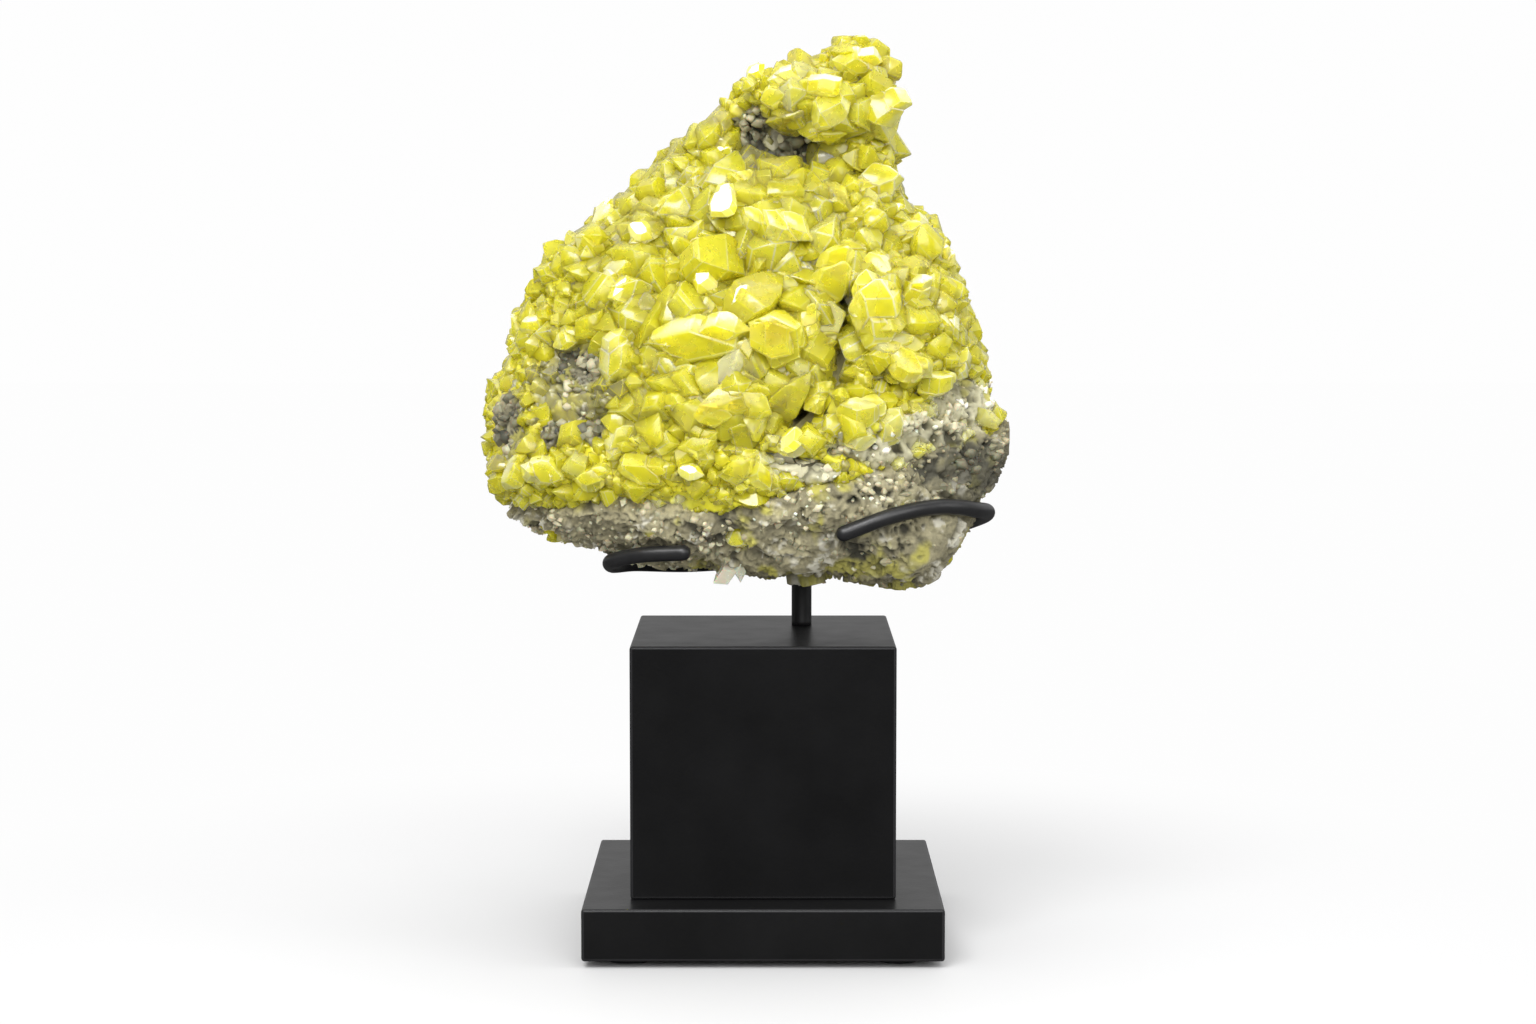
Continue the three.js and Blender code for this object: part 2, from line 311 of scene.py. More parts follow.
rubber = pad_rubber()
for depth in ("front", "back"):
    for side in ("left", "right"):
        node = f"foot_{depth}_{side}"
        low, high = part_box(node)
        radius = (high.x - low.x) / 2
        rim = 0.4 * MM
        rise = high.z - low.z
        turns = (0.0, 0.5, 1.0, math.pi / 2)
        lip = [(radius - rim + rim * math.sin(turn), rim - rim * math.cos(turn)) for turn in turns]
        pad = revolve([(0.0, 0.0), *lip, (radius, rise), (0.0, rise)], pad_sides)
        bmesh.ops.translate(pad, vec=((low.x + high.x) / 2, (low.y + high.y) / 2, low.z), verts=pad.verts)
        name = f"pad_{depth}_{side}"
        foot = new_object(name, finished_mesh(name, pad), rubber)
        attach(foot, "root")
        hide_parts(node)

# --- Post and arms ---
# Mild steel rod, bent hot to the stone, brazed to a post and painted satin black. The arms end in
# rounded tips, and each is one smooth rod from the post's head to its tip.

# Sizes and routes are in millimetres. An arm starts brazed on the post's head and runs straight at first.
rod_radius = 2.25
rod_sides = 20
rod_step = 1.2
post_low, post_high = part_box("post")
post_x = (post_low.x + post_high.x) / 2 / MM
post_y = (post_low.y + post_high.y) / 2 / MM
post_radius = (post_high.x - post_low.x) / 2 / MM
dome_height = 2.9
head_z = 107.3
brazed, straight = 3.3, 6.3
rod_routes = {
    "arm_left": [
        (post_x - brazed, post_y, head_z), (post_x - straight, post_y, head_z), (2, 12, 108.8),
        (-18, 4, 109), (-32, -8, 110.5), (-38, -22, 111.5), (-37, -33, 114), (-29.5, -38, 116),
        (-17, -41.5, 117),
    ],
    "arm_right": [
        (post_x + brazed, post_y, head_z), (post_x + straight, post_y, head_z), (34, 14, 108.4),
        (47, 15, 112.6), (59, 12, 118.4), (67.5, 2, 122.4), (70.5, -12, 125.4),
        (69.8, -22, 127.2), (66, -32, 128.4), (61, -38, 129.6), (53, -43.5, 130), (42, -47, 128),
        (28, -48, 123),
    ],
    "arm_rear": [
        (post_x, post_y + brazed, head_z), (post_x, post_y + straight, head_z), (16, 26, 113.5),
        (13.5, 34, 120), (10.5, 40.5, 127), (8, 46.5, 136.5), (6.5, 49.5, 147),
    ],
    "post": [(post_x, post_y, height) for height in (post_low.z / MM, 100.0, post_high.z / MM - dome_height)],
}


def painted_steel():
    made, add = material("black_painted_steel")
    patch = noise(add, 160.0, 4.0)
    tone = colour_mix(add, patch, (0.0075, 0.0075, 0.008, 1), (0.014, 0.014, 0.0145, 1))
    surface(add, Base_Color=tone, Roughness=scaled(add, patch, 0.30, 0.46),
            Normal=relief(add, noise(add, 1400.0, 2.0), 0.12, 0.0003))
    return made


def smooth_route(stops, step):
    """Points every step along a centripetal Catmull-Rom curve through the stops."""
    stops = [np.array(stop, float) for stop in stops]
    ends = [2 * stops[0] - stops[1], *stops, 2 * stops[-1] - stops[-2]]
    points = []
    for p0, p1, p2, p3 in zip(ends, ends[1:], ends[2:], ends[3:]):
        t1 = np.linalg.norm(p1 - p0) ** 0.5
        t2 = t1 + np.linalg.norm(p2 - p1) ** 0.5
        t3 = t2 + np.linalg.norm(p3 - p2) ** 0.5
        for t in np.linspace(t1, t2, max(2, round(np.linalg.norm(p2 - p1) / step)), endpoint=False):
            a1 = (t1 - t) / t1 * p0 + t / t1 * p1
            a2 = (t2 - t) / (t2 - t1) * p1 + (t - t1) / (t2 - t1) * p2
            a3 = (t3 - t) / (t3 - t2) * p2 + (t - t2) / (t3 - t2) * p3
            b1 = (t2 - t) / t2 * a1 + t / t2 * a2
            b2 = (t3 - t) / (t3 - t1) * a2 + (t - t1) / (t3 - t1) * a3
            points.append((t2 - t) / (t2 - t1) * b1 + (t - t1) / (t2 - t1) * b2)
    return [*points, stops[-1]]


def rod_mesh(name, stops, radius):
    """A round rod along the stops, flat where it is brazed on and domed at its tip."""
    route = smooth_route(stops, rod_step)
    tangent = np.array(route[-1]) - np.array(route[-2])
    tangent /= np.linalg.norm(tangent)
    rings = [(point, radius) for point in route]
    for turn in np.linspace(0.25, 1.0, 4) * math.pi / 2:
        rings.append((route[-1] + tangent * radius * math.sin(turn) * 0.95, radius * math.cos(turn)))
    shape = bmesh.new()
    side = Vector((0, 0, 1))
    previous = None
    for i, (point, ring_radius) in enumerate(rings):
        ahead = rings[min(i + 1, len(rings) - 1)][0]
        behind = rings[max(i - 1, 0)][0]
        direction = Vector(ahead - behind).normalized()
        side = (side - direction * side.dot(direction)).normalized()
        other = direction.cross(side)
        ring = []
        for k in range(rod_sides):
            angle = 2 * math.pi * k / rod_sides
            offset = (side * math.cos(angle) + other * math.sin(angle)) * max(ring_radius, 0.02)
            ring.append(shape.verts.new((Vector(point) + offset) * MM))
        if previous:
            for k in range(rod_sides):
                after = (k + 1) % rod_sides
                shape.faces.new((previous[k], previous[after], ring[after], ring[k]))
        else:
            shape.faces.new(ring[::-1])
        previous = ring
    shape.faces.new(previous)
    bmesh.ops.recalc_face_normals(shape, faces=shape.faces)
    return finished_mesh(name, shape)


steel = painted_steel()
for node, stops in rod_routes.items():
    name = f"steel_{node}"
    radius = post_radius if node == "post" else rod_radius
    rod = new_object(name, rod_mesh(name, stops, radius), steel, smooth=True)
    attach(rod, "root")
    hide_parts(node)

# --- Stone surface ---
# The rock and the crust were laid down together, so both take their form from one weathered surface:
# the stone's outside, worn soft, with deep clefts between its lobes and bare hollows on its face.

# Clefts run from one point to the other on the face: x, z, x, z, half-width and depth.
clefts = [
    (28.8, 190, 28.5, 168, 3.2, 8.5),
    (27, 165, 13, 153, 4.0, 8.0),
    (-3, 233, 20, 229, 5.0, 3.5),
    (-60, 156, -40, 155, 3.0, 2.5),
]
# Hollows where the crust is thin and the rock shows, painted darker there as shade: x, z, half-sizes and how
# bare.
hollows = [
    (-48, 170, 8.5, 8.5, 0.9),
    (-55, 151, 5, 4, 1.0),
    (-43.5, 151, 5, 4, 1.0),
    (3, 235, 7, 5, 1.0),
    (13, 231, 8, 4.5, 1.0),
    (0, 239, 5, 7, 0.9),
    (19, 226, 8, 3, 0.5),
    (13, 155, 5, 4, 0.45),
    (-52, 160, 10, 7, 0.55),
    (-70, 154, 8, 13, 0.8),
]
# Where the crust wears out to cream-coloured rock along its lower right edge: x, z and half-sizes.
worn_edge = [(68, 161, 13, 8), (53, 152, 13, 5.5), (36, 146, 13, 4), (18, 141, 12, 3)]

# Where the crystals are more olive or paler than usual: x, z, half-sizes and shift of tone.
tinges = [
    (-48, 166, 17, 12, -0.42),
    (-36, 157, 14, 8, -0.22),
    (-68, 150, 8, 12, -0.30),
    (7, 232, 19, 9, -0.38),
    (-4, 243, 6, 6, -0.20),
    (9, 158, 6, 9, -0.25),
    (-38, 199, 6, 9, -0.20),
    (40, 180, 12, 15, 0.08),
    (32, 152, 17, 8, 0.22),
    (44, 149, 20, 6, 0.34),
    (60, 155, 12, 7, 0.34),
    (8, 141, 16, 5, 0.26),
    # This one is paler partly in the crystals' own colour and partly as painted light, lifting the lower left
    # where less light falls.
    (-61, 138, 10, 8, 0.24),
    (25, 246, 18, 12, 0.08),
    (66, 160, 14, 9, 0.35),
]


def lattice(cells, seed):
    """A repeatable random number from 0 to 1 for each whole-number cell."""
    x, y, z = (cells[..., i].astype(np.int64) for i in range(3))
    n = (x * 374761393 + y * 668265263 + z * 2147483647 + seed * 1274126177) & 0xFFFFFFFF
    n = ((n ^ (n >> 13)) * 1274126177) & 0xFFFFFFFF
    n = ((n ^ (n >> 16)) * 2246822519) & 0xFFFFFFFF
    return ((n ^ (n >> 15)) & 0xFFFFFF) / 0xFFFFFF


def clouds(points, size, seed, octaves=3):
    """Smooth noise, about -1 to 1, whose largest forms are size across."""
    total = np.zeros(len(points))
    weight = 1.0
    for octave in range(octaves):
        spot = points / size * 2 ** octave + 17.3 * octave
        cell = np.floor(spot)
        part = spot - cell
        part = part * part * (3 - 2 * part)
        value = np.zeros(len(points))
        for corner in np.ndindex(2, 2, 2):
            share = np.prod(np.where(corner, part, 1 - part), axis=1)
            value += share * lattice(cell + corner, seed + octave)
        total += weight * (2 * value - 1)
        weight *= 0.5
    return total


def grains(points, size, seed):
    """Distance to the nearest and the second nearest of scattered points, in units of size."""
    spots = points / size
    home = np.floor(spots)
    first = np.full(len(points), 9.0)
    second = first.copy()
    for step in np.ndindex(3, 3, 3):
        cell = home + np.array(step) - 1
        jitter = np.stack([lattice(cell, seed + i) for i in range(3)], axis=1)
        gap = np.linalg.norm(cell + jitter - spots, axis=1)
        second = np.minimum(second, np.maximum(gap, first))
        first = np.minimum(first, gap)
    return first, second


def chips(points, size, seed):
    """Broken facets: each cell is one tilted plane, about -0.6 to 0.6 in height."""
    spots = points / size
    home = np.floor(spots)
    nearest = np.full(len(points), 9.0)
    height = np.zeros(len(points))
    for step in np.ndindex(3, 3, 3):
        cell = home + np.array(step) - 1
        offset = spots - cell - np.stack([lattice(cell, seed + i) for i in range(3)], axis=1)
        tilt = np.stack([lattice(cell, seed + 5 + i) for i in range(3)], axis=1) * 2 - 1
        gap = np.linalg.norm(offset, axis=1)
        height = np.where(gap < nearest, np.sum(offset * tilt, axis=1), height)
        nearest = np.minimum(gap, nearest)
    return height


def ease(value, low, high):
    share = np.clip((value - low) / (high - low), 0, 1)
    return share * share * (3 - 2 * share)


def shape_of(mesh):
    shape = bmesh.new()
    shape.from_mesh(mesh)
    return shape


def node_shape(node):
    shape = shape_of(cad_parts[node].data)
    bmesh.ops.remove_doubles(shape, verts=shape.verts, dist=1e-6)
    return shape


def applied(thing):
    """The object's mesh with its modifiers applied. The object itself is taken away."""
    graph = bpy.context.evaluated_depsgraph_get()
    mesh = bpy.data.meshes.new_from_object(thing.evaluated_get(graph), preserve_all_data_layers=True,
                                           depsgraph=graph)
    bpy.data.objects.remove(thing)
    return mesh


def arrays(mesh):
    count = len(mesh.vertices)
    places = np.empty(count * 3)
    mesh.vertices.foreach_get("co", places)
    normals = np.empty(count * 3)
    mesh.vertices.foreach_get("normal", normals)
    return places.reshape(-1, 3) / MM, normals.reshape(-1, 3)


def move_to(mesh, places):
    """Moves the mesh's corners, keeping them inside the specimen's box."""
    inside = np.clip(places, np.array(cad_box[0]) / MM, np.array(cad_box[1]) / MM)
    mesh.vertices.foreach_set("co", (inside * MM).ravel())
    mesh.update()


def largest_island(mesh):
    shape = shape_of(mesh)
    shape.verts.ensure_lookup_table()
    unseen = set(range(len(shape.verts)))
    best = []
    while unseen:
        island = [unseen.pop()]
        for i in island:
            for edge in shape.verts[i].link_edges:
                other = edge.other_vert(shape.verts[i]).index
                if other in unseen:
                    unseen.discard(other)
                    island.append(other)
        best = max(best, island, key=len)
    keep = set(best)
    bmesh.ops.delete(shape, geom=[v for v in shape.verts if v.index not in keep], context="VERTS")
    shape.to_mesh(mesh)
    shape.free()


def weathered_stone(voxel, softening):
    """One closed skin round the rock and its crust, as a mesh, from both solids."""
    rock = node_shape("matrix_rock")
    for corner in rock.verts:
        corner.co += corner.normal * 0.8 * MM
    both = shape_of(finished_mesh("swollen_rock", rock))
    both.from_mesh(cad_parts["sulfur_crust"].data)
    bmesh.ops.remove_doubles(both, verts=both.verts, dist=1e-6)
    thing = new_object("weathered_stone", finished_mesh("weathered_stone", both))
    remesh = thing.modifiers.new("skin", "REMESH")
    remesh.mode = "VOXEL"
    remesh.voxel_size = voxel * MM
    soften = thing.modifiers.new("soften", "SMOOTH")
    soften.factor = 0.5
    soften.iterations = softening
    mesh = applied(thing)
    largest_island(mesh)
    return mesh


solid_reach = {}
for node in ("matrix_rock", "sulfur_crust"):
    shape = node_shape(node)
    solid_reach[node] = BVHTree.FromBMesh(shape)
    shape.free()


def gap_to(node, places):
    """How far each place is from a solid's surface."""
    tree = solid_reach[node]
    return np.array([tree.find_nearest(Vector(place * MM))[3] / MM for place in places])


def from_middle(places, x, z, half_x, half_z):
    """How far out each place lies from the middle of an oval on the face, its rim being 1."""
    return np.hypot((places[:, 0] - x) / half_x, (places[:, 2] - z) / half_z)


def stone_facts(places, normals):
    """How much crystal covers each place, and how bare, cleft or worn to cream-coloured rock it is."""
    over_rock = gap_to("matrix_rock", places)
    outside_crust = gap_to("sulfur_crust", places)
    open_rock = places[(over_rock < 1.6) & (outside_crust > 1.0)][::3]
    tree = KDTree(len(open_rock))
    for i, place in enumerate(open_rock):
        tree.insert(Vector(place), i)
    tree.balance()
    inside_crust = np.array([tree.find(Vector(place))[2] for place in places])
    ragged = 3.6 * clouds(places, 20, 5) + 2.0 * clouds(places, 7, 9)
    ragged += 20.0 * ease(places[:, 1], -25, 10) * clouds(places, 40, 15)
    cover = ease(inside_crust - outside_crust + ragged, -2.5, 5.0)
    island = ease(clouds(places, 15, 19) + 0.35 * clouds(places, 5, 29), 0.62, 0.85)
    cover = np.maximum(cover, 0.9 * island * (places[:, 2] > 112))
    facing = ease(-normals[:, 1], -0.15, 0.35)
    worn = np.zeros(len(places))
    for oval in worn_edge:
        away = from_middle(places, *oval) + 0.35 * clouds(places, 6, 13)
        worn = np.maximum(worn, facing * (1 - ease(away, 0.6, 1.2)))
    cover = cover * (1 - 0.9 * worn)
    bare = np.zeros(len(places))
    for *oval, amount in hollows:
        away = from_middle(places, *oval) + 0.25 * clouds(places, 7, 11)
        bare = np.maximum(bare, amount * facing * (1 - ease(away, 0.65, 1.25)))
    cleft = np.zeros(len(places))
    for x0, z0, x1, z1, width, depth in clefts:
        run = np.array([x1 - x0, z1 - z0])
        start = places[:, [0, 2]] - (x0, z0)
        along = np.clip(start @ run / (run @ run), 0, 1)
        away = np.linalg.norm(start - along[:, None] * run, axis=1) + 1.2 * clouds(places, 6, 23)
        cleft = np.maximum(cleft, depth * facing * (1 - ease(away, 0.3 * width, 1.5 * width)))
    return cover, bare, cleft, worn


def tinge(places):
    """How much paler or more olive the crystals are at each place."""
    shift = 0.13 * clouds(places, 15, 113)
    front = ease(-places[:, 1], -5, 15)
    for *oval, amount in tinges:
        shift += amount * front * (1 - ease(from_middle(places, *oval), 0.5, 1.2))
    return shift


skin = weathered_stone(voxel=1.0, softening=3)
skin_places, skin_normals = arrays(skin)
skin_cover, skin_bare, skin_cleft, skin_worn = stone_facts(skin_places, skin_normals)


def store(mesh, name, values):
    made = mesh.attributes.new(name, "FLOAT", "POINT")
    made.data.foreach_set("value", np.asarray(values, dtype=np.float32))


def thinned(mesh, hidden, share):
    """The mesh with its hidden parts made coarse, since nothing shows there."""
    thing = new_object("thinned", mesh)
    group = thing.vertex_groups.new(name="hidden")
    for i in np.flatnonzero(hidden):
        group.add([int(i)], 1.0, "REPLACE")
    reduce = thing.modifiers.new("reduce", "DECIMATE")
    reduce.ratio = share
    reduce.vertex_group = "hidden"
    reduce.vertex_group_factor = 10.0
    return applied(thing)


# --- Matrix rock ---
# Pale grey-brown limestone, porous and pitted, with white calcite in its cavities. The crust hides it
# except along the broken rim, underneath, in a few hollows of the face and all over the back.

# The corner of the rim where shade is painted darkest into the rock: x, z and half-sizes.
painted_shade_corner = (66, 140, 15, 10)


def limestone():
    made, add = material("porous_limestone")
    tone = tone_row(add, noise(add, 55.0, 6.0, 0.6), (
        (0.30, (0.125, 0.112, 0.070, 1)),
        (0.50, (0.285, 0.257, 0.151, 1)),
        (0.68, (0.435, 0.395, 0.238, 1)),
    ))
    speck = noise(add, 420.0, 4.0, 0.7)
    speckled = scaled(add, speck, 0.72, 1.25, start=0.3, end=0.7)
    mottled = add("ShaderNodeVectorMath", {"operation": "SCALE"}, i0=tone, Scale=speckled).outputs[0]
    chalky = colour_mix(add, marked(add, "white"), mottled, (0.66, 0.635, 0.52, 1))
    stained = colour_mix(add, marked(add, "stain"), chalky, (0.50, 0.46, 0.075, 1))
    # Painted shade: the rock goes near black where the mesh marks shade in its pits, recesses, hollows and
    # the rim's lower right corner.
    shade_painted_rock = colour_mix(add, marked(add, "pit"), stained, (0.058, 0.055, 0.037, 1))
    surface(add, Base_Color=shade_painted_rock, Roughness=scaled(add, speck, 0.62, 0.95),
            Normal=relief(add, noise(add, 700.0, 6.0, 0.75), 0.8, 0.0008))
    return made


def read(mesh, name):
    values = np.empty(len(mesh.vertices), dtype=np.float32)
    mesh.attributes[name].data.foreach_get("value", values)
    return values.astype(float)


def finer_in_front(mesh):
    """The skin with its bare parts in front cut twice as fine, for the broken rim."""
    shape = shape_of(mesh)
    shown = shape.verts.layers.float["shown"]
    edges = [edge for edge in shape.edges
             if all(v[shown] > 0.25 and v.co.y < -8 * MM for v in edge.verts)]
    bmesh.ops.subdivide_edges(shape, edges=edges, cuts=1, use_grid_fill=True)
    bmesh.ops.triangulate(shape, faces=[face for face in shape.faces if len(face.verts) > 4])
    shape.to_mesh(mesh)
    shape.free()


def painted_shade_share(places):
    """How far each place is into the lower right corner of the rim, where shade is painted darker, from 0 to
    1.
    """
    away = from_middle(places, *painted_shade_corner) + 0.35 * clouds(places, 8, 91)
    return 1 - ease(away, 0.5, 1.2)


def rock_mesh():
    mesh = skin.copy()
    mesh.name = "limestone"
    facts = {"shown": 1 - skin_cover * (1 - skin_bare), "bare": skin_bare, "cleft": skin_cleft,
             "cover": skin_cover, "worn": skin_worn}
    for name, values in facts.items():
        store(mesh, name, values)
    finer_in_front(mesh)
    places, normals = arrays(mesh)
    shown, bare, cleft, cover, worn = (read(mesh, name) for name in facts)
    warped = places + np.stack([1.6 * clouds(places, 6, 31 + i) for i in range(3)], axis=1)
    porous = ease(clouds(places, 17, 37), -0.35, 0.45)
    pores = grains(warped, 5.2, 41)[0]
    holes = grains(warped, 2.3, 53)[0]
    big_pit = (1 - ease(pores, 0.16, 0.46)) * porous
    small_pit = (1 - ease(holes, 0.16, 0.40)) * (0.35 + 0.65 * porous)
    broken = 2.6 * chips(warped, 15, 61) + 1.5 * chips(warped, 5.5, 67) + 0.7 * chips(warped, 2.4, 73)
    rough = 0.5 * clouds(places, 3.0, 79, 2)
    sink = 0.9 + 7.0 * (1 - shown) + 0.9 * bare + cleft
    sink += shown * (1.7 * big_pit + 1.0 * small_pit - np.clip(broken + rough, -2.6, 1.6))
    # Painted shade: the rock is darkened at the lower right corner of the rim, towards its right side and
    # towards its bottom.
    shaded = 0.68 * painted_shade_share(places)
    shaded += 0.20 * ease(places[:, 0], 5, 35) + 0.10 * ease(-places[:, 2], -130, -118)
    # The same mark is also painted shade in the pits, in the low parts of broken facets and in the bare
    # hollows.
    dark = shaded + 0.8 * big_pit + 0.75 * small_pit + 0.45 * ease(-broken, 0.4, 1.6) + 0.6 * bare
    store(mesh, "pit", np.clip(dark, 0, 1) * shown)
    veins = ease(clouds(places, 5, 83) + 0.7 * clouds(places, 1.7, 89, 2) + 0.25 * broken, 0.55, 1.05)
    store(mesh, "white", np.maximum(0.85 * veins, 0.8 * worn) * (1 - big_pit))
    low_right = ease(places[:, 0], -5, 30) * ease(-places[:, 2], -126, -116)
    stain = 0.85 * ease(clouds(places, 6.5, 97) + 0.7 * low_right + 0.45 * cover, 0.40, 0.95)
    store(mesh, "stain", np.maximum(stain, 0.25 * worn))
    move_to(mesh, places - normals * sink[:, None])
    return thinned(mesh, hidden=shown < 0.02, share=0.68)


rock = new_object("limestone_matrix", rock_mesh(), limestone(), smooth=True)
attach(rock, "root")
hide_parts("matrix_rock")

# --- Sulfur crust ---
# Native sulfur grown over the rock: a granular crust from which thousands of small stubby crystals
# stand, with some dozens of large blocky ones. All of it is one intergrown mass.

crust_tones = (
    (0.00, (0.40, 0.37, 0.15, 1)),
    (0.20, (0.84, 0.74, 0.10, 1)),
    (0.42, (0.98, 0.865, 0.022, 1)),
    (0.75, (0.985, 0.90, 0.060, 1)),
    (1.00, (0.985, 0.935, 0.42, 1)),
)
facet_contrast = 0.11
# Rounded crystal edges are painted paler by this much: a painted highlight.
painted_rim_highlight = 0.33
# The part of the face where crystals grew largest: x, z and half-sizes.
best_growth = (6, 196, 62, 52)


def sulfur(name, roughness, depth, clearness, ripple, bending=1.5):
    """Waxy yellow sulfur: paler or more olive from crystal to crystal, cloudy within each, with a painted
    highlight on its edges.
    """
    made, add = material(name)
    cloudy = scaled(add, noise(add, 150.0, 4.0), -0.09, 0.09, start=0.3, end=0.7)
    tone = maths(add, "ADD", marked(add, "tone"), cloudy)
    # The rounded edges get the painted highlight here.
    for part, weight in (("facet", facet_contrast), ("edge", painted_rim_highlight)):
        tone = maths(add, "MULTIPLY_ADD", marked(add, part), weight, tone)
    gloss = scaled(add, noise(add, 260.0, 3.0), roughness - 0.09, roughness + 0.12, start=0.3, end=0.7)
    surface(add, Base_Color=tone_row(add, tone, crust_tones), Roughness=gloss, IOR=bending,
            Transmission_Weight=clearness, Subsurface_Weight=0.6, Subsurface_Radius=(1.0, 0.95, 0.2),
            Subsurface_Scale=depth * MM, Coat_Weight=0.45, Coat_Roughness=0.07,
            Normal=relief(add, noise(add, 750.0, 3.0), ripple, 0.0003))
    return made


def crust_mesh():
    places, normals = skin_places, skin_normals
    lumps = 0.8 * clouds(places, 6, 101) + 1.8 * chips(places, 4.2, 103) + 1.1 * chips(places, 2.4, 105)
    crumbs = grains(places, 3.4, 107)[0]
    sink = 1.3 - lumps + 0.9 * crumbs + 4.6 * (1 - skin_cover) + 4.4 * skin_bare + skin_cleft
    mesh = skin.copy()
    mesh.name = "crust"
    margin = 1 - ease(skin_cover, 0.45, 1.0)
    # Crystals in the clefts are painted more olive, as painted shade in the crevices.
    tone = 0.42 + 0.45 * margin - 0.35 * skin_bare - 0.04 * skin_cleft + 0.8 * tinge(places)
    store(mesh, "tone", np.clip(tone, 0.0, 1))
    room = ease(skin_cover, 0.1, 0.6) * (1 - ease(skin_bare, 0.15, 0.6)) * (1 - ease(skin_cleft, 3, 7))
    store(mesh, "room", np.clip(room, 0, 1))
    # The scattered crystals get the same painted shade in the clefts.
    store(mesh, "tint", tinge(places) - 0.03 * skin_cleft + 0.30 * margin)
    away = from_middle(places, *best_growth) + 0.2 * clouds(places, 20, 127)
    growth = 1.30 - 0.58 * ease(away, 0.5, 1.15)
    store(mesh, "growth", growth * (1 - 0.45 * margin))
    move_to(mesh, places - normals * sink[:, None])
    return mesh


granular = sulfur("granular_sulfur", roughness=0.36, depth=4.0, clearness=0.35, ripple=0.4)
crystal_wax = sulfur("crystal_sulfur", roughness=0.25, depth=8.0, clearness=0.60, ripple=0.10, bending=1.42)
whole_crust = crust_mesh()
bed_mesh = thinned(whole_crust.copy(), hidden=skin_cover * (1 - skin_bare) < 0.03, share=0.62)
bed = new_object("sulfur_bed", bed_mesh, granular, smooth=True)
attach(bed, "root")
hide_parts("sulfur_crust")

# --- Sulfur crystals ---
# Stubby double pyramids with cut tips, in the proportions sulfur always grows in. They differ only in
# how far each pair of faces has grown, so a few shapes serve them all.

axis_lengths = (0.8131, 1.0, 1.9034)
chance = np.random.default_rng(20)


def crystal_shape(name, rounding, blunt, waxy, flat=0.0, steps=1):
    """One crystal a unit long, its faces cut from a block at slightly uneven distances."""
    forms = [
        ((1, 1, 1), 1.0),
        ((1, 1, 3), chance.uniform(1.25, 1.75)),
        ((0, 0, 1), chance.uniform(0.42, 0.62) * blunt),
        ((0, 1, 1), chance.uniform(1.0, 1.35)),
        ((1, 0, 1), chance.uniform(1.05, 1.5)),
    ]
    if not rounding:
        forms = forms[:3]
    if flat:
        forms.append(((1, 0, 0), flat))
    shape = bmesh.new()
    bmesh.ops.create_cube(shape, size=5.0)
    for index, distance in forms:
        for signs in np.ndindex(2, 2, 2):
            sign = [1 - 2 * s for s in signs]
            if any(i == 0 and s < 0 for i, s in zip(index, sign)):
                continue
            across = Vector([i * s / axis for i, s, axis in zip(index, sign, axis_lengths)])
            reach = distance * chance.uniform(0.86, 1.12) / across.length
            across.normalize()
            parts = shape.verts[:] + shape.edges[:] + shape.faces[:]
            cut = bmesh.ops.bisect_plane(shape, geom=parts, plane_co=across * reach, plane_no=across,
                                         clear_outer=True, dist=1e-5)
            edges = [part for part in cut["geom_cut"] if isinstance(part, bmesh.types.BMEdge)]
            if len(edges) > 2:
                bmesh.ops.contextual_create(shape, geom=edges)
    bmesh.ops.dissolve_degenerate(shape, edges=shape.edges, dist=0.02)
    edge = shape.faces.layers.float.new("edge")
    facet = shape.faces.layers.float.new("facet")
    for face in shape.faces:
        face[facet] = chance.uniform(-1.0, 1.0)
    if rounding:
        rounded = bmesh.ops.bevel(shape, geom=shape.edges[:], offset=rounding, segments=steps, profile=0.5,
                                  affect="EDGES", clamp_overlap=True)
        for face in rounded["faces"]:
            face[edge] = 1.0
            face[facet] = 0.0
    bmesh.ops.recalc_face_normals(shape, faces=shape.faces)
    low = Vector([min(v.co[i] for v in shape.verts) for i in range(3)])
    high = Vector([max(v.co[i] for v in shape.verts) for i in range(3)])
    bmesh.ops.translate(shape, vec=-(low + high) / 2, verts=shape.verts)
    bmesh.ops.scale(shape, vec=Vector((1, 1, 1)) / max(high - low), verts=shape.verts)
    bmesh.ops.triangulate(shape, faces=[f for f in shape.faces if len(f.verts) > 4])
    for face in shape.faces:
        face.smooth = waxy or face[edge] > 0.5
    return finished_mesh(name, shape)


def crystal_set(name, count, rounding, blunts):
    """A hidden collection of loose crystals for the scatter to pick from."""
    group = bpy.data.collections.new(name)
    for i in range(count):
        mesh = crystal_shape(f"{name}_{i}", rounding, blunts[i % len(blunts)], waxy=i % 4 > 0)
        group.objects.link(bpy.data.objects.new(f"{name}_{i}", mesh))
    return group


